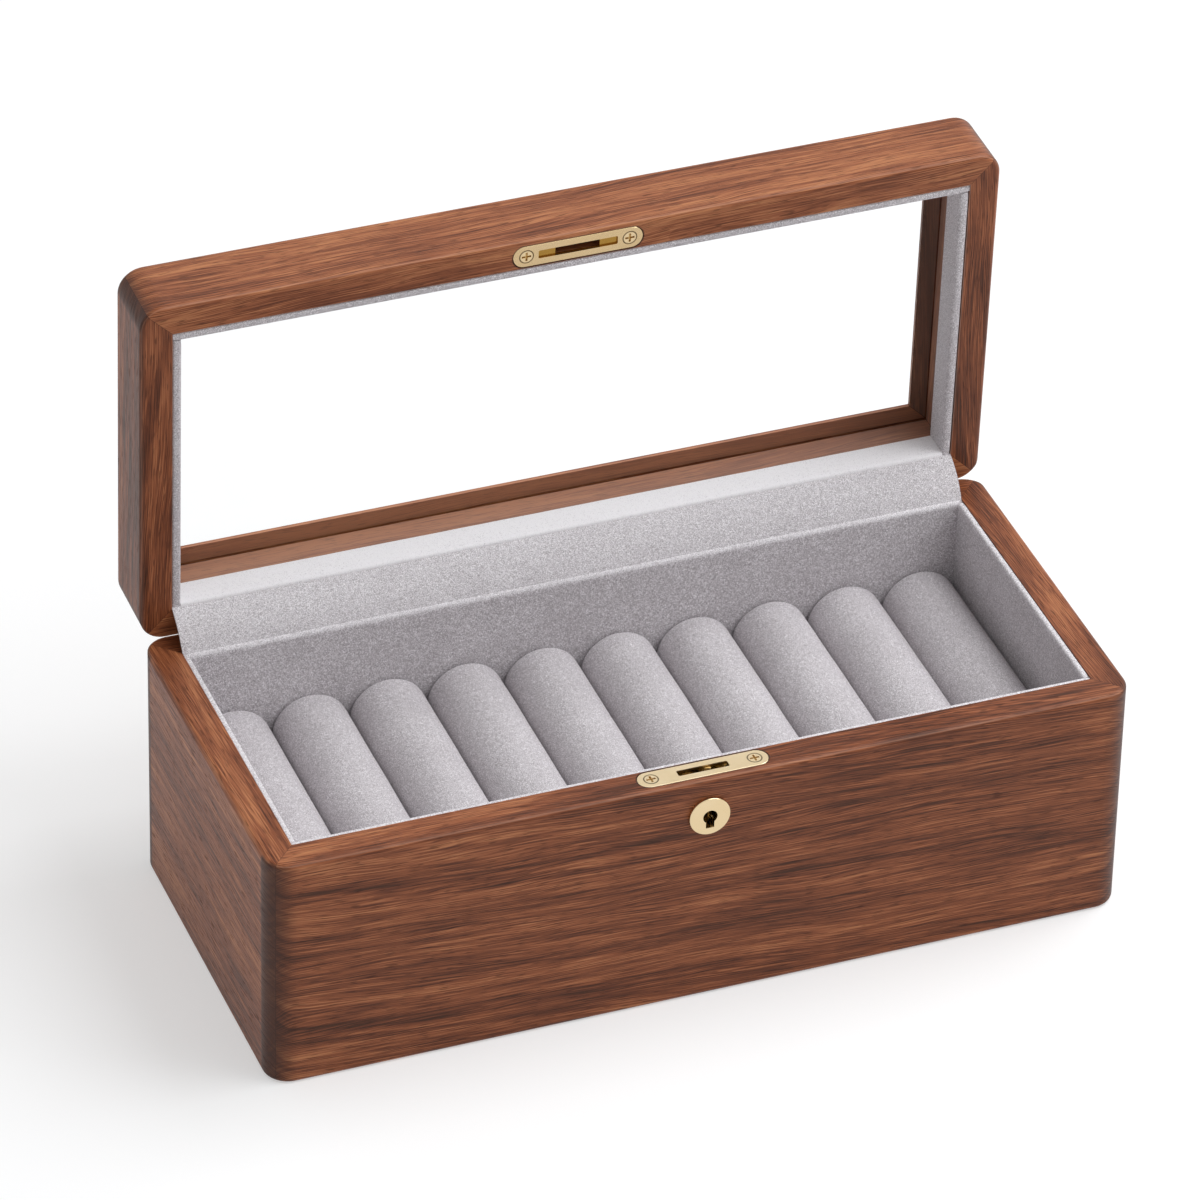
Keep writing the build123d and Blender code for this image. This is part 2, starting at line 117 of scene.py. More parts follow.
# Solid black walnut, planed, mitred and rubbed with oil: the eye gets warm brown bands with
# darker late wood, short dark pores, and a satin gloss that is a little duller in the pores.
walnutLook = dict(
    colours=[(0.0, "#42220f"), (0.25, "#61321d"), (0.5, "#80472a"), (0.75, "#9a5b3a"), (1.0, "#b6774e")],
    # the last colour on the next line is a painted highlight on the arris
    # the seam colour on the next line also serves as painted shade round the lock plate
    poreColour="#351b12", seamAndGapShadeColour="#2c1812", endGrainColour="#3c2219", arrisHighlightColour="#d8a285",
    heart=(0, 60.0, -70.0),                                # middle of the log, seen along the grain
    bendLength=180.0, bendWidth=38.0, bendDepth=13.0,      # slow wander of the grain
    waveLength=50.0, waveWidth=9.0, waveDepth=1.8,         # small waves in it
    bandLength=220.0, bandWidth=7.0, bandGain=1.3, bandRoughness=0.5,
    streakLength=55.0, streakWidth=2.0, streakGain=1.1, streakRoughness=0.6,
    ringWidth=5.5, ringGain=0.14, lateFrom=0.55, lateTo=0.97,  # late wood is the last part of a ring
    fibreLength=26.0, fibreWidth=0.42, fibreGain=1.9,      # real fibres are 0.05 mm: too fine to show
    poreLength=7.0, poreWidth=0.45, poreStart=(7.3, 2.1, 0), poreFrom=0.56, poreTo=0.68, poreShare=0.55,
    poreDull=0.2, reliefStrength=0.35, reliefDepth=0.12,
    roughness=0.42, specular=0.25, refraction=1.5, seamWidth=0.22, seamShare=0.75,
    # how dark the end grain is, and where it starts and is full at a corner, in mm
    endGrain=dict(baseSide=(0.85, -2.6, -0.4), baseLong=(0.85, -3.0, 8.5),
                  lidSide=(0.75, -1.6, 1.5), lidLong=(0.6, 2.5, 7.5)),
    endSkin=(1.2, 0.3),                                    # how deep under the surface it fades, in mm
    insideSheenColour="#b39486", insideSheenShare=0.42,              # painted sheen: the inner faces of the lid made lighter and greyer
    insideSheenFrom=(0.05, 0.35), insideSheenTop=(1.4, 0.7),         # fades past the inner faces and below the top
    lipLightColour="#7b4626", lipLightTop=(2.25, 2.1),               # painted light added to the colour of the lip
    longHighlight=0.26, sideHighlight=0.12, highlightFrom=0.6, highlightTo=1.05,  # painted highlight on the arris; the last two in mm off it
)


def makeWalnut(name, wrap, alongDepth=False, onLid=False, shift=(0, 0, 0), tilt=-2.5, paleToneAndLight=0.0,
               plated=False):
    # wrap is 1 or -1: the way in which the grain runs on round the long outer edge of the board
    look = walnutLook
    material, tree, output = startMaterial(name)
    rowPlace = placeOnCase(tree, addNode(tree, "TexCoord"), onLid)
    # grain runs along the first coordinate, tilted a little as a sawn board's grain is
    lean = math.radians(tilt)
    grain = addNode(tree, "Mapping", {
        "Vector": rowPlace.outputs[0], "Location": shift,
        "Rotation": (lean, 0, math.radians(-90)) if alongDepth else (0, lean, 0)})

    def wander(kind, moved):  # bends or waves push the grain aside, on top of what moved it before
        size = addNode(tree, "VectorMath", {0: grain.outputs[0], 1: (
            1 / look[kind + "Length"], 1 / look[kind + "Width"], 1 / look[kind + "Width"])},
            operation="MULTIPLY")
        field = addNode(tree, "TexNoise", {"Vector": size.outputs[0], "Scale": 1.0, "Detail": 2.0})
        return addNode(tree, "VectorMath", {
            0: field.outputs["Color"], 1: (0, look[kind + "Depth"], look[kind + "Depth"]),
            2: moved.outputs[0]}, operation="MULTIPLY_ADD")

    waved = wander("wave", wander("bend", grain))
    # distance from the heart of the log gives the growth rings
    across = addNode(tree, "VectorMath", {0: waved.outputs[0], 1: (0, 1, 1)}, operation="MULTIPLY")
    radius = addNode(tree, "VectorMath", {0: across.outputs[0], 1: look["heart"]}, operation="DISTANCE")
    parts = addNode(tree, "SeparateXYZ", {0: waved.outputs[0]})

    def growth(kind):  # bands or streaks, drawn out along the grain and curved round the heart
        along = addNode(tree, "Math", {0: parts.outputs[0], 1: look[kind + "Length"]}, operation="DIVIDE")
        outwards = addNode(tree, "Math", {0: radius.outputs["Value"], 1: look[kind + "Width"]},
                           operation="DIVIDE")
        spot = addNode(tree, "CombineXYZ", {0: along.outputs[0], 1: outwards.outputs[0]})
        return addNode(tree, "TexNoise", {"Vector": spot.outputs[0], "Scale": 1.0, "Detail": 3.0,
                                          "Roughness": look[kind + "Roughness"]})

    band, streak = growth("band"), growth("streak")
    ringPlace = addNode(tree, "Math", {0: radius.outputs["Value"], 1: 1 / look["ringWidth"],
                                       2: band.outputs["Fac"]}, operation="MULTIPLY_ADD")
    ringPart = addNode(tree, "Math", {0: ringPlace.outputs[0]}, operation="FRACT")
    lateWood = addNode(tree, "MapRange", {0: ringPart.outputs[0], 1: look["lateFrom"], 2: look["lateTo"],
                                          3: 0.0, 4: 1.0}, interpolation_type="SMOOTHSTEP")
    wrapped = addNode(tree, "Math", {0: parts.outputs[1], 1: float(wrap), 2: parts.outputs[2]},
                      operation="MULTIPLY_ADD")
    surface = addNode(tree, "CombineXYZ", {0: parts.outputs[0], 1: wrapped.outputs[0]})

    def fineGrain(kind, start, detail):  # fibres or pores, laid along the surface
        spot = addNode(tree, "VectorMath", {
            0: surface.outputs[0], 1: (1 / look[kind + "Length"], 1 / look[kind + "Width"], 0), 2: start},
            operation="MULTIPLY_ADD")
        return addNode(tree, "TexNoise", {"Vector": spot.outputs[0], "Scale": 1.0, "Detail": detail})

    fibre = fineGrain("fibre", (0, 0, 0), 2.0)
    poreField = fineGrain("pore", look["poreStart"], 1.0)
    pore = addNode(tree, "MapRange", {0: poreField.outputs["Fac"], 1: look["poreFrom"], 2: look["poreTo"],
                                      3: 0.0, 4: 1.0}, interpolation_type="SMOOTHSTEP")
    # tone = half + gains * (noise - half) - late wood
    fields = ((band.outputs["Fac"], look["bandGain"]), (streak.outputs["Fac"], look["streakGain"]),
              (fibre.outputs["Fac"], look["fibreGain"]), (lateWood.outputs[0], -look["ringGain"]))
    # the tone lift given is a board's own tone; on the lid's back rail it is also painted light
    tone = 0.5 - sum(gain for field, gain in fields[:3]) / 2 + paleToneAndLight
    for field, gain in fields:
        tone = addNode(tree, "Math", {0: field, 1: gain, 2: tone}, operation="MULTIPLY_ADD").outputs[0]
    wood = addNode(tree, "ValToRGB", {0: tone}, stops=look["colours"])
    poreAmount = addNode(tree, "Math", {0: pore.outputs[0], 1: look["poreShare"]}, operation="MULTIPLY")
    layers = [(poreAmount, "poreColour", "MIX")]  # share, colour and mixing, each laid over the last
    # the round corners cut through the fibres, and end grain drinks more oil and turns dark
    absolute = addNode(tree, "VectorMath", {0: rowPlace.outputs[0]}, operation="ABSOLUTE")
    beyond = addNode(tree, "VectorMath", {
        0: absolute.outputs[0], 1: (case["halfLength"] - case["cornerRadius"],
                                    case["halfDepth"] - case["cornerRadius"], 0)}, operation="SUBTRACT")
    cornerPlace = addNode(tree, "VectorMath", {0: addNode(tree, "VectorMath", {
        0: beyond.outputs[0], 1: (0, 0, 0)}, operation="MAXIMUM").outputs[0], 1: (1, 1, 0)},
        operation="MULTIPLY")
    cornerParts = addNode(tree, "SeparateXYZ", {0: beyond.outputs[0]})
    fromCentre = addNode(tree, "VectorMath", {0: cornerPlace.outputs[0]}, operation="LENGTH")
    roundTheCorner = addNode(tree, "Math", {0: cornerParts.outputs[0], 1: cornerParts.outputs[1]},
                             operation="MINIMUM")
    endShare, endStart, endFull = look["endGrain"][
        ("lid" if onLid else "base") + ("Side" if alongDepth else "Long")]
    endGrain = addNode(tree, "MapRange", {0: roundTheCorner.outputs[0], 1: endStart, 2: endFull,
                                          3: 0.0, 4: endShare}, interpolation_type="SMOOTHSTEP")
    outside = addNode(tree, "MapRange", {
        0: fromCentre.outputs["Value"], 1: case["cornerRadius"] - look["endSkin"][0],
        2: case["cornerRadius"] - look["endSkin"][1], 3: 0.0, 4: 1.0})
    endAmount = addNode(tree, "Math", {0: endGrain.outputs[0], 1: outside.outputs[0]}, operation="MULTIPLY")
    layers.append((endAmount, "endGrainColour", "MIX"))
    # painted highlight: the arris of the rim is made lighter along its streaks
    rowParts = addNode(tree, "SeparateXYZ", {0: rowPlace.outputs[0]})
    rimPlace = case["lidBottom"] if onLid else case["baseHeight"]
    belowRim = addNode(tree, "Math", {0: addNode(tree, "Math", {0: rowParts.outputs[2], 1: rimPlace},
                                                 operation="SUBTRACT").outputs[0]}, operation="ABSOLUTE")
    fromOutside = addNode(tree, "Math", {0: case["cornerRadius"], 1: fromCentre.outputs["Value"]},
                          operation="SUBTRACT")
    fromArris = addNode(tree, "Math", {0: belowRim.outputs[0], 1: fromOutside.outputs[0]},
                        operation="MAXIMUM")
    # the streaks that it is multiplied with are about one half
    arris = addNode(tree, "MapRange", {0: fromArris.outputs[0], 1: look["highlightFrom"], 2: look["highlightTo"],
                                       3: 2 * look["sideHighlight" if alongDepth else "longHighlight"], 4: 0.0},
                    interpolation_type="SMOOTHSTEP")
    arrisHighlight = addNode(tree, "Math", {0: arris.outputs[0], 1: streak.outputs["Fac"]}, operation="MULTIPLY")
    layers.append((arrisHighlight, "arrisHighlightColour", "MIX"))
    if onLid:  # painted sheen: the faces inside the lid are made lighter and greyer
        fromInside = addNode(tree, "VectorMath", {
            0: absolute.outputs[0], 1: (case["innerLength"] / 2, case["innerDepth"] / 2, 0)},
            operation="SUBTRACT")
        insideParts = addNode(tree, "SeparateXYZ", {0: fromInside.outputs[0]})
        pastInside = addNode(tree, "Math", {0: insideParts.outputs[0], 1: insideParts.outputs[1]},
                             operation="MAXIMUM")
        within = addNode(tree, "MapRange", {0: pastInside.outputs[0], 1: look["insideSheenFrom"][0],
                                            2: look["insideSheenFrom"][1], 3: look["insideSheenShare"], 4: 0.0})
        belowTop = addNode(tree, "MapRange", {
            0: rowParts.outputs[2], 1: case["lidTop"] - look["insideSheenTop"][0],
            2: case["lidTop"] - look["insideSheenTop"][1], 3: 1.0, 4: 0.0})
        insideSheenAmount = addNode(tree, "Math", {0: within.outputs[0], 1: belowTop.outputs[0]},
                               operation="MULTIPLY")
        layers.append((insideSheenAmount, "insideSheenColour", "MIX"))
        if not alongDepth:  # painted light: the lip over the glass, in shade, is made warmer and lighter
            onLip = addNode(tree, "MapRange", {
                0: rowParts.outputs[2], 1: case["lidTop"] - look["lipLightTop"][0],
                2: case["lidTop"] - look["lipLightTop"][1], 3: 0.0, 4: 1 / look["insideSheenShare"]})
            lipLightAmount = addNode(tree, "Math", {0: insideSheenAmount.outputs[0], 1: onLip.outputs[0]},
                                operation="MULTIPLY")
            layers.append((lipLightAmount, "lipLightColour", "ADD"))
    if plated:  # painted shade in the thin gap round the lock plate
        halfWidth = lockFitting["width"] / 2
        halfStraight = lockFitting["length"] / 2 - halfWidth
        sidePlace = addNode(tree, "VectorMath", {
            0: absolute.outputs[0], 1: (halfStraight, lockFitting["setBack"], 0)}, operation="SUBTRACT")
        sideParts = addNode(tree, "SeparateXYZ", {0: sidePlace.outputs[0]})
        pastEnd = addNode(tree, "Math", {0: sideParts.outputs[0], 1: 0.0}, operation="MAXIMUM")
        fromSlot = addNode(tree, "VectorMath", {0: addNode(tree, "CombineXYZ", {
            0: pastEnd.outputs[0], 1: sideParts.outputs[1]}).outputs[0]}, operation="LENGTH")
        gapShade = addNode(tree, "MapRange", {
            0: fromSlot.outputs["Value"], 1: halfWidth + lockFitting["gapShadeStart"],
            2: halfWidth + lockFitting["gapShade"], 3: lockFitting["gapShadeShare"], 4: 0.0})
        shallow = addNode(tree, "MapRange", {0: belowRim.outputs[0], 1: lockFitting["gapShadeDepth"][0],
                                             2: lockFitting["gapShadeDepth"][1], 3: 1.0, 4: 0.0})
        gapShadeAmount = addNode(tree, "Math", {0: gapShade.outputs[0], 1: shallow.outputs[0]},
                              operation="MULTIPLY")
        layers.append((gapShadeAmount, "seamAndGapShadeColour", "MIX"))
    # fine dark glue line where two boards meet in the mitre
    sides = addNode(tree, "SeparateXYZ", {0: absolute.outputs[0]})
    offMitre = addNode(tree, "Math", {0: sides.outputs[0], 1: sides.outputs[1]}, operation="SUBTRACT")
    mitreGap = addNode(tree, "Math", {0: offMitre.outputs[0], 1: case["halfLength"] - case["halfDepth"]},
                       operation="SUBTRACT")
    mitreDistance = addNode(tree, "Math", {0: mitreGap.outputs[0]}, operation="ABSOLUTE")
    seam = addNode(tree, "MapRange", {0: mitreDistance.outputs[0], 1: 0.0, 2: look["seamWidth"],
                                      3: look["seamShare"], 4: 0.0})
    layers.append((seam, "seamAndGapShadeColour", "MIX"))
    colour = wood.outputs[0]
    for amount, paint, mixing in layers:
        colour = addNode(tree, "Mix", {0: amount.outputs[0], 6: colour, 7: toLinear(look[paint])},
                         data_type="RGBA", blend_type=mixing).outputs[2]
    # pores are open hollows, fibres a faint ribbing
    relief = addNode(tree, "Math", {0: pore.outputs[0], 1: -1.0, 2: fibre.outputs["Fac"]},
                     operation="MULTIPLY_ADD")
    bump = addNode(tree, "Bump", {"Height": relief.outputs[0], "Strength": look["reliefStrength"],
                                  "Distance": look["reliefDepth"] * mm})
    dull = addNode(tree, "Math", {0: pore.outputs[0], 1: look["poreDull"], 2: look["roughness"]},
                   operation="MULTIPLY_ADD")
    shader = addNode(tree, "BsdfPrincipled", {
        "Base Color": colour, "Roughness": dull.outputs[0], "Normal": bump.outputs[0],
        "IOR": look["refraction"], "Specular IOR Level": look["specular"]})
    tree.links.new(shader.outputs[0], output.inputs[0])
    return material


# Short cotton pile on a woven back, brushed by use: the eye gets a pale grey that lightens
# towards the edges of each form, with a mottled nap and no gloss.
velvetLook = dict(
    colours=[(0.0, "#a49ea1"), (0.4, "#c6c0c3"), (0.8, "#e4e0e3"), (1.0, "#f8f5f7")],
    napSize=0.35, napGain=3.2, napDetail=2.0, napRoughness=0.6,  # at twice the pile's real spacing
    clumpSize=1.3, clumpGain=0.56, clumpDetail=2.0, clumpRoughness=0.5,
    brushSize=22.0, brushGain=0.24, brushDetail=1.0, brushRoughness=0.5,
    # the next three give a painted highlight at a lining's top edge
    highlightWidth=2.6, highlightEnd=0.2, edgeHighlight=0.3,
    clumpHeight=0.8, reliefStrength=0.6, reliefDepth=0.3,
    roughness=0.95, specular=0.15, sheen=0.3, sheenRoughness=0.45, sheenColour="#f2eef0",
)


def makeVelvet(name, paintedLightLift=0.0, shift=(0, 0, 0), topEdge=None):
    # topEdge is the z in mm where the velvet turns over the edge of its board
    look = velvetLook
    material, tree, output = startMaterial(name)
    place = addNode(tree, "TexCoord")
    scaled = addNode(tree, "Mapping", {"Vector": place.outputs["Object"], "Scale": metresToMm,
                                       "Location": shift})
    fields = {}
    # a lift given makes a lighter copy of the same velvet: painted light
    tone = paintedLightLift - look["napGain"] / 2
    for kind in ("nap", "clump", "brush"):
        fields[kind] = addNode(tree, "TexNoise", {
            "Vector": scaled.outputs[0], "Scale": 1 / look[kind + "Size"],
            "Detail": look[kind + "Detail"], "Roughness": look[kind + "Roughness"]}).outputs["Fac"]
        tone = addNode(tree, "Math", {0: fields[kind], 1: look[kind + "Gain"], 2: tone},
                       operation="MULTIPLY_ADD").outputs[0]
    if topEdge is not None:  # painted highlight: the velvet is made lighter towards the top edge
        upwards = addNode(tree, "SeparateXYZ", {0: place.outputs["Object"]}).outputs[2]
        paintedEdgeLight = addNode(tree, "MapRange", {
            0: upwards, 1: (topEdge - look["highlightWidth"]) * mm, 2: (topEdge - look["highlightEnd"]) * mm,
            3: 0.0, 4: look["edgeHighlight"]})
        tone = addNode(tree, "Math", {0: tone, 1: paintedEdgeLight.outputs[0]}, operation="ADD").outputs[0]
    pile = addNode(tree, "ValToRGB", {0: tone}, stops=look["colours"])
    relief = addNode(tree, "Math", {0: fields["clump"], 1: look["clumpHeight"], 2: fields["nap"]},
                     operation="MULTIPLY_ADD")
    bump = addNode(tree, "Bump", {"Height": relief.outputs[0], "Strength": look["reliefStrength"],
                                  "Distance": look["reliefDepth"] * mm})
    shader = addNode(tree, "BsdfPrincipled", {
        "Base Color": pile.outputs[0], "Roughness": look["roughness"], "Normal": bump.outputs[0],
        "Specular IOR Level": look["specular"], "Sheen Weight": look["sheen"],
        "Sheen Roughness": look["sheenRoughness"], "Sheen Tint": toLinear(look["sheenColour"])})
    tree.links.new(shader.outputs[0], output.inputs[0])
    return material


# Yellow brass, turned or stamped, then polished by hand: the eye gets a pale gold mirror with
# soft hairlines and a few duller patches where fingers have been.
brassLook = dict(
    # the colours for the sunk floor and the screw rings are painted shade
    bright="#fbe9c6", worn="#f1dbae", darkGold="#94691a", recessShade="#9a7226", screwRingShade="#4a3414",
    hairLength=9.0, hairline=0.28, patch=9.0, roughness=0.13, glossSpread=0.12,
    recessStart=0.12, recessFull=0.7, recessShare=0.9,     # depth below the polished face, in mm
    ringStart=0.12, ringEnd=0.36, ringShare=0.8,           # painted shade to each side of a screw head's edge
    reliefStrength=0.04, reliefDepth=0.05,
)


def makeBrass(name, alongX=True, darkGoldShare=0.0, satin=0.0, faceHeight=None, onLid=False):
    # faceHeight is the z of the polished face in mm, in the frame where the lid is closed
    look = brassLook
    material, tree, output = startMaterial(name)
    place = addNode(tree, "TexCoord")
    fine = 1000 / look["hairline"]
    lines = addNode(tree, "TexNoise", {"Vector": addNode(tree, "Mapping", {
        "Vector": place.outputs["Object"],
        "Scale": (1000 / look["hairLength"] if alongX else fine, fine, fine)}).outputs[0],
        "Scale": 1.0, "Detail": 2.0})
    patches = addNode(tree, "TexNoise", {"Vector": place.outputs["Object"], "Scale": 1000 / look["patch"],
                                         "Detail": 3.0})
    colour = addNode(tree, "Mix", {0: patches.outputs["Fac"], 6: toLinear(look["bright"]),
                                   7: toLinear(look["worn"])}, data_type="RGBA")
    gloss = addNode(tree, "Math", {0: lines.outputs["Fac"], 1: look["glossSpread"],
                                   2: look["roughness"] - look["glossSpread"] / 2 + satin},
                    operation="MULTIPLY_ADD")
    # some pieces are mixed towards a darker gold, by the share given
    tint = addNode(tree, "Mix", {0: darkGoldShare, 6: colour.outputs[2], 7: toLinear(look["darkGold"])},
                   data_type="RGBA").outputs[2]
    if faceHeight is not None:  # painted shade on the sunk floor below the polished face, together with the dark of unpolished brass
        closed = placeOnCase(tree, place, onLid)
        upwards = addNode(tree, "SeparateXYZ", {0: closed.outputs[0]}).outputs[2]
        depth = addNode(tree, "Math", {0: upwards if onLid else faceHeight,
                                       1: faceHeight if onLid else upwards}, operation="SUBTRACT")
        sunkShade = addNode(tree, "MapRange", {0: depth.outputs[0], 1: look["recessStart"], 2: look["recessFull"],
                                          3: 0.0, 4: look["recessShare"]})
        # painted shade: a dark ring round each screw head
        spot = addNode(tree, "VectorMath", {
            0: addNode(tree, "VectorMath", {0: closed.outputs[0]}, operation="ABSOLUTE").outputs[0],
            1: (lockFitting["screwApart"], lockFitting["setBack"], 0)}, operation="SUBTRACT")
        flat = addNode(tree, "VectorMath", {0: spot.outputs[0], 1: (1, 1, 0)}, operation="MULTIPLY")
        fromScrew = addNode(tree, "VectorMath", {0: flat.outputs[0]}, operation="LENGTH")
        offRing = addNode(tree, "Math", {0: addNode(tree, "Math", {
            0: fromScrew.outputs["Value"], 1: lockFitting["screwRadius"]}, operation="SUBTRACT").outputs[0]},
            operation="ABSOLUTE")
        ring = addNode(tree, "MapRange", {0: offRing.outputs[0], 1: look["ringStart"], 2: look["ringEnd"],
                                          3: look["ringShare"], 4: 0.0})
        for amount, paint in ((sunkShade, "recessShade"), (ring, "screwRingShade")):
            tint = addNode(tree, "Mix", {0: amount.outputs[0], 6: tint, 7: toLinear(look[paint])},
                           data_type="RGBA").outputs[2]
    bump = addNode(tree, "Bump", {"Height": lines.outputs["Fac"], "Strength": look["reliefStrength"],
                                  "Distance": look["reliefDepth"] * mm})
    shader = addNode(tree, "BsdfPrincipled", {
        "Base Color": tint, "Metallic": 1.0, "Roughness": gloss.outputs[0], "Normal": bump.outputs[0]})
    tree.links.new(shader.outputs[0], output.inputs[0])
    return material


# Zinc-plated sheet steel: the eye gets a bluish grey with faint blotches
steelLook = dict(colours=[(0.35, "#8f9295"), (0.65, "#b9bcbd")], blotchSize=2.5, roughness=0.25,
                 roughnessSpread=0.2)


def makeZincSteel(name):
    material, tree, output = startMaterial(name)
    place = addNode(tree, "TexCoord")
    blotch = addNode(tree, "TexNoise", {"Vector": place.outputs["Object"],
                                        "Scale": 1000 / steelLook["blotchSize"], "Detail": 3.0})
    colour = addNode(tree, "ValToRGB", {0: blotch.outputs["Fac"]}, stops=steelLook["colours"])
    gloss = addNode(tree, "Math", {0: blotch.outputs["Fac"], 1: steelLook["roughnessSpread"],
                                   2: steelLook["roughness"]}, operation="MULTIPLY_ADD")
    shader = addNode(tree, "BsdfPrincipled", {"Base Color": colour.outputs[0], "Metallic": 1.0,
                                              "Roughness": gloss.outputs[0]})
    tree.links.new(shader.outputs[0], output.inputs[0])
    return material


# Clear float glass, polished: the eye gets almost nothing but a faint grey veil and edges
glassLook = dict(colour="#fdfefe", veil="#f7f8f8", roughness=0.0, refraction=1.16)  # low: hardly mirrors


def makeGlass(name):  # light for other surfaces goes straight through, so that the pane adds no noise
    material, tree, output = startMaterial(name)
    glass = addNode(tree, "BsdfPrincipled", {
        "Base Color": toLinear(glassLook["colour"]), "Roughness": glassLook["roughness"],
        "IOR": glassLook["refraction"], "Transmission Weight": 1.0})
    clear = addNode(tree, "BsdfTransparent", {"Color": toLinear(glassLook["veil"])})
    path = addNode(tree, "LightPath")
    mixed = glass
    for ray in ("Is Diffuse Ray", "Is Shadow Ray"):
        mixed = addNode(tree, "MixShader", {0: path.outputs[ray], 1: mixed.outputs[0], 2: clear.outputs[0]})
    tree.links.new(mixed.outputs[0], output.inputs[0])
    return material


# Sanded pale wood, birch ply or turned beech: the eye gets fine straight lines and no gloss
plainWoodLook = dict(darkPlace=0.3, palePlace=0.7, lineStretch=30, roughness=0.6, reliefStrength=0.2,
                     reliefDepth=0.1)


def makePlainWood(name, dark, pale, lineWidth):
    look = plainWoodLook
    material, tree, output = startMaterial(name)
    place = addNode(tree, "TexCoord")
    grain = addNode(tree, "TexNoise", {"Vector": addNode(tree, "Mapping", {
        "Vector": place.outputs["Object"], "Scale": (
            1000 / (lineWidth * look["lineStretch"]), 1000 / lineWidth, 1000 / lineWidth)}).outputs[0],
        "Scale": 1.0, "Detail": 4.0})
    colour = addNode(tree, "ValToRGB", {0: grain.outputs["Fac"]},
                     stops=[(look["darkPlace"], dark), (look["palePlace"], pale)])
    bump = addNode(tree, "Bump", {"Height": grain.outputs["Fac"], "Strength": look["reliefStrength"],
                                  "Distance": look["reliefDepth"] * mm})
    shader = addNode(tree, "BsdfPrincipled", {"Base Color": colour.outputs[0],
                                              "Roughness": look["roughness"], "Normal": bump.outputs[0]})
    tree.links.new(shader.outputs[0], output.inputs[0])
    return material


oiledWalnut = {
    "base_front_board": makeWalnut("oiledWalnutFront", 1, shift=(11, 3, 20), plated=True),
    "base_back_board": makeWalnut("oiledWalnutBack", -1, shift=(420, 31, 75), tilt=1.5),
    "base_left_board": makeWalnut("oiledWalnutLeft", -1, alongDepth=True, shift=(130, 88, 12), tilt=1.0,
                                  paleToneAndLight=0.13),
    "base_right_board": makeWalnut("oiledWalnutRight", 1, alongDepth=True, shift=(660, 140, 41), paleToneAndLight=0.06),
    "lid_front_rail": makeWalnut("oiledWalnutLidFront", -1, onLid=True, shift=(905, 60, 7), tilt=1.0,
                                 paleToneAndLight=0.2, plated=True),
    # painted light: this rail is made lighter so that its lip and band, in shade behind the glass, read
    # lighter
    "lid_back_rail": makeWalnut("oiledWalnutLidBack", 1, onLid=True, shift=(240, 190, 33), tilt=0.5,
                                paleToneAndLight=0.36),
    "lid_left_rail": makeWalnut("oiledWalnutLidLeft", 1, alongDepth=True, onLid=True, shift=(70, 11, 150),
                                paleToneAndLight=-0.06),
    "lid_right_rail": makeWalnut("oiledWalnutLidRight", -1, alongDepth=True, onLid=True, shift=(310, 77, 90),
                                 paleToneAndLight=0.1),
}
rimHeight, lidRim = case["baseHeight"], case["lidBottom"]
liningTop = case["baseHeight"] - case["liningSetDown"]
greyVelvet = makeVelvet("greyVelvet")
# painted light: the flap and its leg are the same velvet as the linings, given lighter copies by the lift
flapVelvet = makeVelvet("greyVelvetFlap", paintedLightLift=0.2, shift=(3, 50, 9))
legVelvet = makeVelvet("greyVelvetLeg", paintedLightLift=0.85, shift=(70, 5, 12))  # painted light: much lighter, as it faces up into the light
rollVelvet = makeVelvet("greyVelvetRoll", shift=(31, 7, 5))
# painted highlight along the top edges of the base linings
edgeLitVelvet = makeVelvet("greyVelvetEdgeLit", shift=(0.22, 0.17, 0.11), topEdge=liningTop)
polishedBrass = makeBrass("polishedBrass")
zincSteel = makeZincSteel("zincPlatedSteel")
birchPly = makePlainWood("sandedBirchPly", "#a98a66", "#cdb18a", 0.9)
turnedBeech = makePlainWood("turnedBeech", "#b78f68", "#d3b08a", 0.6)

nodeMaterials = {
    **oiledWalnut,
    "keyhole_escutcheon": makeBrass("turnedBrass", alongX=False, darkGoldShare=0.3),
    "lock_plate": makeBrass("satinBrassLockPlate", satin=0.2, faceHeight=rimHeight),
    "striker_plate": makeBrass("satinBrassStriker", darkGoldShare=0.5, satin=0.08, faceHeight=lidRim, onLid=True),
    "base_brass_screws": makeBrass("turnedBrassScrews", alongX=False, satin=0.2, faceHeight=rimHeight),
    "lid_brass_screws": makeBrass("turnedBrassLidScrews", alongX=False, darkGoldShare=0.35, satin=0.08,
                                  faceHeight=lidRim, onLid=True),
    "hook_bolt": makeBrass("filedBrass", alongX=False, satin=0.35),
    "lid_glass": makeGlass("clearFloatGlass"),
    "base_bottom_panel": birchPly,
}
nodeMaterials.update({name: polishedBrass for name in (
    "lock_case", "lock_cap", "hinge_base_leaf_left", "hinge_base_leaf_right",
    "hinge_lid_leaf_left", "hinge_lid_leaf_right", "hinge_pin_left", "hinge_pin_right")})
nodeMaterials.update({name: zincSteel for name in ("bolt_pivot_pin", "bolt_spring", "key_post")})
nodeMaterials.update({name: greyVelvet for name in ("roll_rest_front", "roll_rest_back")})
nodeMaterials.update({f"roll_core_{n}": turnedBeech for n in range(1, 11)})
for nodeName, material in nodeMaterials.items():
    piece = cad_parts[nodeName]
    if not piece.material_slots:
        piece.data.materials.append(material)
    for materialSlot in piece.material_slots:
        materialSlot.material = material
print("materials made:", len(bpy.data.materials))


def finishPiece(name, mesh, material, sharpAngle=50.0):  # mesh in mm to a shown object
    mesh.transform(Matrix.Scale(mm, 4))
    mesh.materials.append(material)
    for polygon in mesh.polygons:
        polygon.use_smooth = True
    mesh.set_sharp_from_angle(angle=math.radians(sharpAngle))
    piece = bpy.data.objects.new(name, mesh)
    bpy.context.scene.collection.objects.link(piece)
    return piece


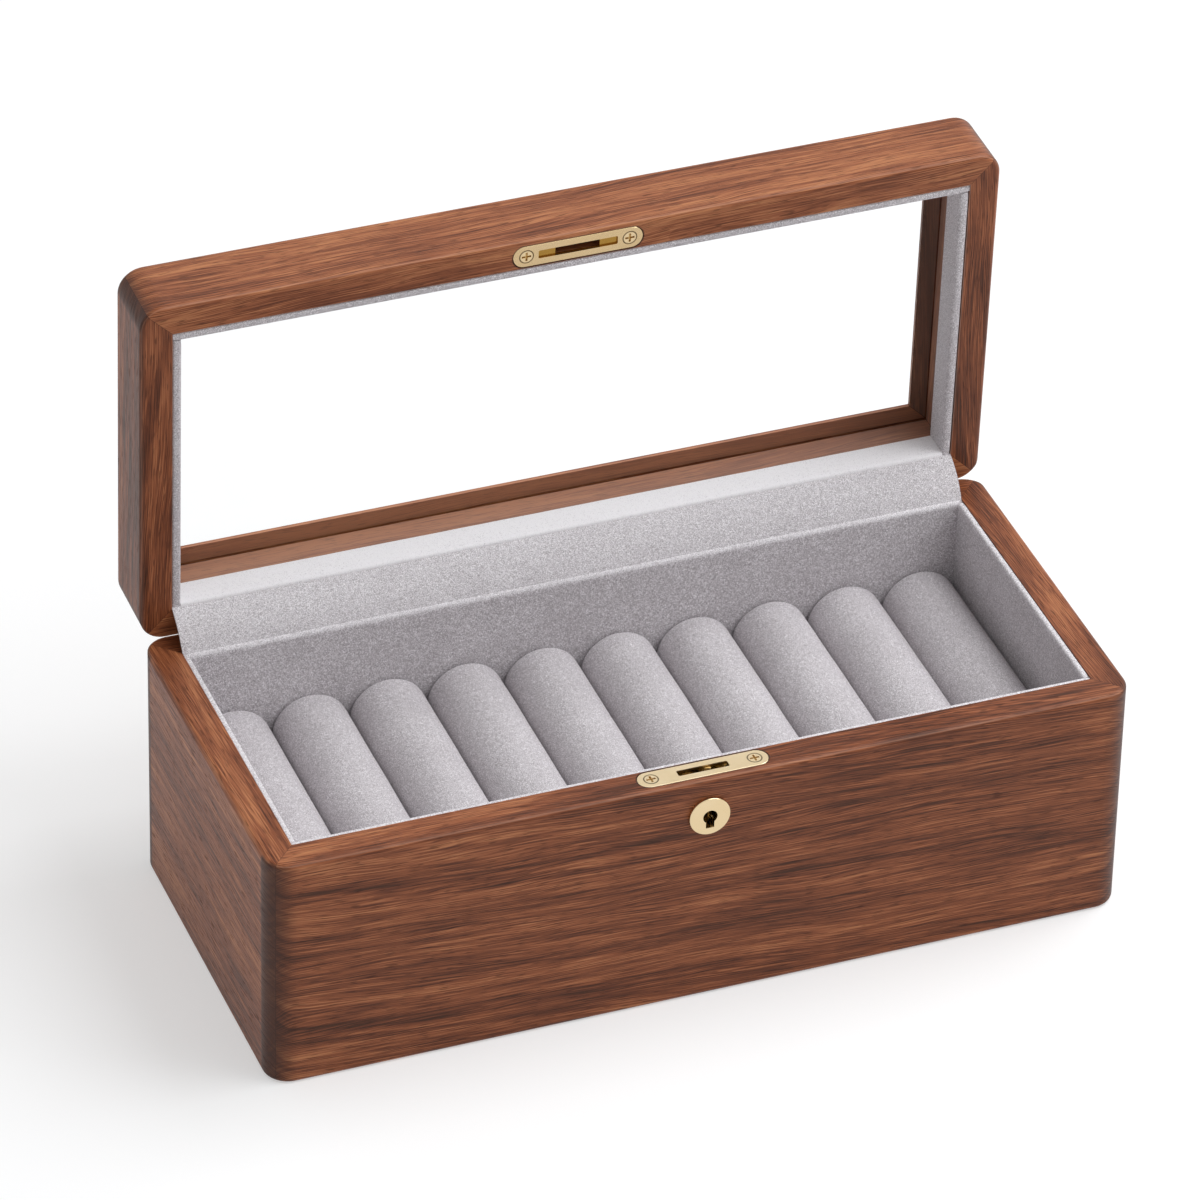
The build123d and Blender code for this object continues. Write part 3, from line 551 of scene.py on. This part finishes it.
def sweepSection(name, sectionAt, stations, place=None):  # closed outline carried along a row of stations
    build = bmesh.new()
    rings = [[build.verts.new(place @ Vector(p) if place else Vector(p)) for p in sectionAt(station)]
             for station in stations]
    for near, far in zip(rings, rings[1:]):
        for i in range(len(near)):
            j = (i + 1) % len(near)
            build.faces.new((near[i], near[j], far[j], far[i]))
    build.faces.new(rings[0])
    build.faces.new(rings[-1])
    bmesh.ops.recalc_face_normals(build, faces=build.faces)
    mesh = bpy.data.meshes.new(name)
    build.to_mesh(mesh)
    build.free()
    return mesh


def roundedOutline(width, height, radii, steps=5):  # outline with its four corners rounded, from low left
    corners = [((radii[0], radii[0]), radii[0], 180), ((width - radii[1], radii[1]), radii[1], 270),
               ((width - radii[2], height - radii[2]), radii[2], 0),
               ((radii[3], height - radii[3]), radii[3], 90)]
    return [(cx + r * math.cos(math.radians(start + 90 * k / steps)),
             cy + r * math.sin(math.radians(start + 90 * k / steps)))
            for (cx, cy), r, start in corners for k in range(steps + 1)]


# Velvet wrapped round thin board: rounded edges with a slightly uneven nap
wrappedBoard = dict(stationPitch=3.0, fewestStations=8, unevenness=0.07, unevenSize=7.0, acrossStretch=3,
                    endRound=0.8, endPull=0.3, firstStation=0.3)


def makeWrappedBoard(name, node, body, low, high, radii, onLid=False, alongDepth=False):
    # low and high are corners in mm, in the frame where the lid is closed
    length = high[1] - low[1] if alongDepth else high[0] - low[0]
    width = high[0] - low[0] if alongDepth else high[1] - low[1]
    outline = roundedOutline(width, high[2] - low[2], radii)
    count = max(wrappedBoard["fewestStations"], int(length / wrappedBoard["stationPitch"]))
    place = openLidPlace() if onLid else None
    middle = (width / 2, (high[2] - low[2]) / 2)
    ownNoise = Vector((len(name), 3, 1))  # so that no two boards are uneven in the same way

    def sectionAt(share):
        along = length * share
        fromEnd = min(along, length - along)
        shrink = max(0.0, 1 - fromEnd / wrappedBoard["endRound"]) * wrappedBoard["endPull"]
        points = []
        for across, up in outline:
            toMiddle = Vector((middle[0] - across, middle[1] - up)).normalized() * shrink
            seed = Vector((along, across * wrappedBoard["acrossStretch"], up)) / wrappedBoard["unevenSize"]
            bulge = noise.noise(seed + ownNoise) * wrappedBoard["unevenness"]
            across += toMiddle.x * (1 - bulge)
            up += toMiddle.y - abs(bulge) * (1 if up > middle[1] else -1)
            points.append((low[0] + across, low[1] + along, low[2] + up) if alongDepth
                          else (low[0] + along, low[1] + across, low[2] + up))
        return points

    first = wrappedBoard["firstStation"] / length
    stations = [0.0, first] + [k / count for k in range(1, count)] + [1 - first, 1.0]
    mesh = sweepSection(name, sectionAt, stations, place)
    piece = finishPiece(name, mesh, greyVelvet if onLid else edgeLitVelvet)
    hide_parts(node)
    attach(piece, body)


halfX, halfY = case["innerLength"] / 2, case["innerDepth"] / 2
liner, lowZ = case["liningThickness"], case["floorTop"]
# radius of each long edge in mm, in the order low left, low right, high right, high left
liningRounds = dict(openToRight=(0.3, 0.3, 0.95, 0.45), openToLeft=(0.3, 0.3, 0.45, 0.95),
                    back=(0.3, 0.3, 0.3, 1.7), floor=(0.2, 0.2, 0.6, 0.6), lid=(1.3, 1.3, 0.6, 0.6))
makeWrappedBoard("frontLining", "base_lining_front", "base",
                 (-halfX, -halfY, lowZ), (halfX, -halfY + liner, liningTop),
                 liningRounds["openToRight"])
makeWrappedBoard("backLining", "base_lining_back", "base",
                 (-halfX, halfY - liner, lowZ), (halfX, halfY, liningTop), liningRounds["back"])
makeWrappedBoard("leftLining", "base_lining_left", "base",
                 (-halfX, -halfY + liner, lowZ), (-halfX + liner, halfY - liner, liningTop),
                 liningRounds["openToRight"], alongDepth=True)
makeWrappedBoard("rightLining", "base_lining_right", "base",
                 (halfX - liner, -halfY + liner, lowZ), (halfX, halfY - liner, liningTop),
                 liningRounds["openToLeft"], alongDepth=True)
makeWrappedBoard("floorLining", "base_lining_floor", "base",
                 (-halfX + liner, -halfY + liner, lowZ),
                 (halfX - liner, halfY - liner, lowZ + case["floorLiningThickness"]),
                 liningRounds["floor"])
pad, padTop = case["lidLiningThickness"], lidRim + case["lidLiningDepth"]
makeWrappedBoard("lidFrontLining", "lid_lining_front", "lid",
                 (-halfX, -halfY, lidRim), (halfX, -halfY + pad, padTop), liningRounds["lid"],
                 onLid=True)
makeWrappedBoard("lidLeftLining", "lid_lining_left", "lid",
                 (-halfX, -halfY + pad, lidRim), (-halfX + pad, halfY, padTop), liningRounds["lid"],
                 onLid=True, alongDepth=True)
makeWrappedBoard("lidRightLining", "lid_lining_right", "lid",
                 (halfX - pad, -halfY + pad, lidRim), (halfX, halfY, padTop), liningRounds["lid"],
                 onLid=True, alongDepth=True)
print("linings made")

# Hinge flap: one strip of velvet, from the top of the back lining to the lid's inner edge,
# bowed to the front. Its upper end is tucked under the leg that is glued inside the lid.
flap = dict(thickness=0.9, bow=1.7, unevenBow=0.25, unevenSize=60.0, pieces=100, arcSteps=14,
            startBack=1.5, startDown=0.2, undercut=0.2, endBack=0.45, endUp=0.5, endThickness=0.35,
            endTaper=6, legThickness=1.6, legRounds=(1.1, 0.1, 0.1, 0.5), legPuff=0.3, legPressed=0.3,
            legUneven=0.12, legUnevenSize=(14.0, 6.0), legFront=0.6)
hinge = Vector((0, case["hingeY"], case["hingeZ"]))
reach = case["hingeY"] - halfY
openTurn = math.radians(case["openAngle"])
alongLid = Vector((0, -math.cos(openTurn), math.sin(openTurn)))
outOfLid = Vector((0, math.sin(openTurn), math.cos(openTurn)))
flapStart = Vector((0, halfY - liner + flap["startBack"], liningTop - flap["startDown"]))
lidInnerEdge = hinge + alongLid * reach + outOfLid * (case["lidBottom"] - case["hingeZ"])
flapEnd = lidInnerEdge + outOfLid * flap["endBack"] + alongLid * flap["endUp"]


def flapSection(share):
    x = -halfX + case["innerLength"] * share
    chord = flapEnd - flapStart
    front = Vector((0, -chord.z, chord.y)).normalized()
    bow = flap["bow"] + flap["unevenBow"] * noise.noise(Vector((x / flap["unevenSize"], 4.0, 9.0)))
    points = []
    for side in (1, -1):
        order = range(flap["arcSteps"] + 1) if side > 0 else range(flap["arcSteps"], -1, -1)
        for k in order:
            t = k / flap["arcSteps"]
            spot = flapStart + chord * t + front * (4 * bow * t * (1 - t))
            if side < 0:
                thin, full = flap["endThickness"], flap["thickness"]
                spot = spot - front * (thin + (full - thin) * min(1.0, flap["endTaper"] * t * (1 - t)))
                spot.z = max(spot.z, liningTop - flap["startDown"] - flap["undercut"])
            points.append((x, spot.y, spot.z))
    return points


flapStations = [k / flap["pieces"] for k in range(flap["pieces"] + 1)]
flapMesh = sweepSection("hingeFlap", flapSection, flapStations)
hingeFlap = finishPiece("hingeFlap", flapMesh, flapVelvet)
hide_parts("hinge_flap")
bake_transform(hingeFlap)

# Its leg is glued to the back rail of the lid, with a full rounded lower edge
legLength = case["innerLength"] - 2 * pad + flap["legPressed"]  # pressed against the side linings
legHeight = case["lidLiningDepth"]
legOutline = roundedOutline(flap["legThickness"], legHeight, flap["legRounds"])


def legSection(share):
    x = -legLength / 2 + legLength * share
    sizeX, sizeUp = flap["legUnevenSize"]
    points = []
    for across, up in legOutline:
        puff = flap["legPuff"] * math.sin(math.pi * min(1.0, up / legHeight))
        lift = puff + flap["legUneven"] * noise.noise(Vector((x / sizeX, up / sizeUp, 2.0)))
        y = halfY - flap["legThickness"] + across - (lift if across < flap["legFront"] else 0)
        points.append((x, y, lidRim + up))
    return points


legMesh = sweepSection("flapLeg", legSection, flapStations, openLidPlace())
flapLeg = finishPiece("flapLeg", legMesh, legVelvet)
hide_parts("lid_flap_strip")
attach(flapLeg, "lid")
print("flap made")

# Padded rolls: a velvet sleeve drawn over padding, with gathered ends and a seam underneath
roll = dict(count=10, radius=14.8, halfLength=58.4, axisHeight=55.2, pitch=30.16, endRound=2.6,
            seamDepth=0.45, seamWidth=0.9, unevenness=0.12, unevenSize=16.0, unevenSink=0.6, ownNoise=40,
            gatherRadius=10.0, gatherDepth=0.7, gatherWidth=1.1, gathers=18, gatherWave=0.35,
            segments=108, barrelPitch=4.0, endSteps=7, flatSteps=10)


def rollProfile():  # (distance along the roll, radius) from one end's centre to the other's
    half, r, radius = roll["halfLength"], roll["endRound"], roll["radius"]
    flat = radius - r
    end = [(half, flat * k / roll["flatSteps"]) for k in range(roll["flatSteps"] + 1)]
    end += [(half - r + r * math.cos(a), flat + r * math.sin(a))
            for a in (math.pi / 2 * k / roll["endSteps"] for k in range(1, roll["endSteps"] + 1))]
    steps = int(2 * (half - r) / roll["barrelPitch"])
    barrel = [(half - r - 2 * (half - r) * k / steps, radius) for k in range(1, steps)]
    return end + barrel + [(-y, rad) for y, rad in reversed(end)]


def makeRoll(number):
    name = f"velvetRoll{number}"
    x = (number - 0.5 - roll["count"] / 2) * roll["pitch"]
    build = bmesh.new()
    rings = []
    for y, radius in rollProfile():
        if radius == 0:  # the middle of an end is one point
            rings.append([build.verts.new((x, y, roll["axisHeight"]))])
            continue
        ring = []
        for s in range(roll["segments"]):
            turn = 2 * math.pi * s / roll["segments"]
            cx, cz = math.sin(turn), math.cos(turn)
            seed = Vector((cx * radius + roll["ownNoise"] * number, y, cz * radius)) / roll["unevenSize"]
            swell = roll["unevenness"] * (noise.noise(seed) - roll["unevenSink"])
            fromSeam = abs((turn - math.pi) * radius)
            seamDip = roll["seamDepth"] * math.exp(-(fromSeam / roll["seamWidth"]) ** 2)
            inward = 0.0
            if abs(y) == roll["halfLength"]:  # the flat part of an end is drawn in by its thread
                near = math.exp(-((radius - roll["gatherRadius"]) / roll["gatherWidth"]) ** 2)
                wave = 1 + roll["gatherWave"] * math.cos(roll["gathers"] * turn)
                inward = near * roll["gatherDepth"] * wave
            reachOut = radius + (swell - seamDip if radius > roll["gatherRadius"] else 0)
            ring.append(build.verts.new((x + cx * reachOut, y - math.copysign(inward, y),
                                         roll["axisHeight"] + cz * reachOut)))
        rings.append(ring)
    for near, far in zip(rings, rings[1:]):
        for i in range(roll["segments"]):
            j = (i + 1) % roll["segments"]
            corners = [near[i % len(near)], near[j % len(near)], far[j % len(far)], far[i % len(far)]]
            unique = [v for k, v in enumerate(corners) if v not in corners[:k]]
            build.faces.new(unique)
    bmesh.ops.recalc_face_normals(build, faces=build.faces)
    mesh = bpy.data.meshes.new(name)
    build.to_mesh(mesh)
    build.free()
    piece = finishPiece(name, mesh, rollVelvet, sharpAngle=80.0)
    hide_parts(f"roll_cover_{number}")
    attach(piece, f"roll_{number}")


for number in range(1, roll["count"] + 1):
    makeRoll(number)
print("rolls made")

# Floor, light and camera
studio = dict(skyMean=0.345, skySlope=0.9, skyTowards=(0.40, 0.02, 0.91),
              seenAlbedo="#cecece", seenGlow=0.42, bounceAlbedo="#f3f3f3", keyColour=(0.96, 0.98, 1.0),
              keyPower=41.0, keySize=1.9, keyDistance=2.2, keyDirection=(0.57, -0.08, 0.81),
              keyAim=(0, 0, 0.08), floorReach=8)


def seenDirectly(tree):  # 1 for what the camera sees, also in a mirror or through glass
    path = addNode(tree, "LightPath")
    seen = addNode(tree, "Math", {0: path.outputs["Is Camera Ray"], 1: path.outputs["Is Glossy Ray"]},
                   operation="MAXIMUM")
    return addNode(tree, "Math", {0: seen.outputs[0], 1: path.outputs["Is Transmission Ray"]},
                   operation="MAXIMUM").outputs[0]


# The floor is seen as white paper with a soft shadow, and gives white light back to the box
floorMesh = bpy.data.meshes.new("floor")
r = studio["floorReach"]
floorMesh.from_pydata([(-r, -r, 0), (r, -r, 0), (r, r, 0), (-r, r, 0)], [], [(0, 1, 2, 3)])
floor = bpy.data.objects.new("floor", floorMesh)
bpy.context.scene.collection.objects.link(floor)
floorMaterial, tree, output = startMaterial("paleStudioFloor")
seen = seenDirectly(tree)
paperColour = addNode(tree, "Mix", {0: seen, 6: toLinear(studio["bounceAlbedo"]),
                                    7: toLinear(studio["seenAlbedo"])}, data_type="RGBA")
paper = addNode(tree, "BsdfDiffuse", {"Color": paperColour.outputs[2]})
glow = addNode(tree, "Math", {0: seen, 1: studio["seenGlow"]}, operation="MULTIPLY")
lift = addNode(tree, "Emission", {"Color": (1, 1, 1, 1), "Strength": glow.outputs[0]})
both = addNode(tree, "AddShader", {0: paper.outputs[0], 1: lift.outputs[0]})
tree.links.new(both.outputs[0], output.inputs[0])
floorMesh.materials.append(floorMaterial)

# The sky is seen white, and gives more light from above and from the right
world = bpy.data.worlds.new("paleStudio")
bpy.context.scene.world = world
world.use_nodes = True
tree = world.node_tree
tree.nodes.clear()
skyPlace = addNode(tree, "TexCoord")
facing = addNode(tree, "VectorMath", {0: skyPlace.outputs["Generated"],
                                      1: Vector(studio["skyTowards"]).normalized()},
                 operation="DOT_PRODUCT")
slope = addNode(tree, "Math", {0: facing.outputs["Value"], 1: studio["skySlope"], 2: 1.0},
                operation="MULTIPLY_ADD")
given = addNode(tree, "Math", {0: slope.outputs[0], 1: studio["skyMean"]}, operation="MULTIPLY")
strength = addNode(tree, "Mix", {0: seenDirectly(tree), 2: given.outputs[0], 3: 1.0}, data_type="FLOAT")
sky = addNode(tree, "Background", {"Color": (1, 1, 1, 1), "Strength": strength.outputs[0]})
tree.links.new(sky.outputs[0], addNode(tree, "OutputWorld").inputs[0])

keyLight = bpy.data.lights.new("keyLight", "AREA")
keyLight.energy, keyLight.size, keyLight.color = studio["keyPower"], studio["keySize"], studio["keyColour"]
keyObject = bpy.data.objects.new("keyLight", keyLight)
towards = Vector(studio["keyDirection"]).normalized()
keyObject.location = Vector(studio["keyAim"]) + towards * studio["keyDistance"]
keyObject.rotation_euler = towards.to_track_quat("Z", "Y").to_euler()
bpy.context.scene.collection.objects.link(keyObject)

# Camera: turned 21.6 degrees to the left of the front and 35.3 above, with a slight roll
view = dict(azimuth=-21.573, elevation=35.268, roll=1.5, distance=2973.79, focalPixels=8149.02,
            framePixels=1200, sensor=36.0, aim=(0, 0, 60.0), moveRight=-13.939, moveUp=53.758,
            clip=(0.1, 30.0))
az, el, rollTurn = (math.radians(view[k]) for k in ("azimuth", "elevation", "roll"))
backward = Vector((math.sin(az) * math.cos(el), -math.cos(az) * math.cos(el), math.sin(el)))
rightward = Vector((math.cos(az), math.sin(az), 0))
upward = backward.cross(rightward)
target = Vector(view["aim"]) + rightward * view["moveRight"] + upward * view["moveUp"]
cameraX = rightward * math.cos(rollTurn) + upward * math.sin(rollTurn)
cameraY = upward * math.cos(rollTurn) - rightward * math.sin(rollTurn)
camera = bpy.data.cameras.new("camera")
camera.sensor_width = view["sensor"]
camera.lens = view["focalPixels"] / view["framePixels"] * view["sensor"]
camera.clip_start, camera.clip_end = view["clip"]
cameraObject = bpy.data.objects.new("camera", camera)
axes = Matrix((cameraX, cameraY, backward)).transposed().to_4x4()
cameraObject.matrix_world = Matrix.Translation((target + backward * view["distance"]) * mm) @ axes
bpy.context.scene.collection.objects.link(cameraObject)
bpy.context.scene.camera = cameraObject
bpy.context.scene.view_settings.view_transform = "Standard"
print("studio made")
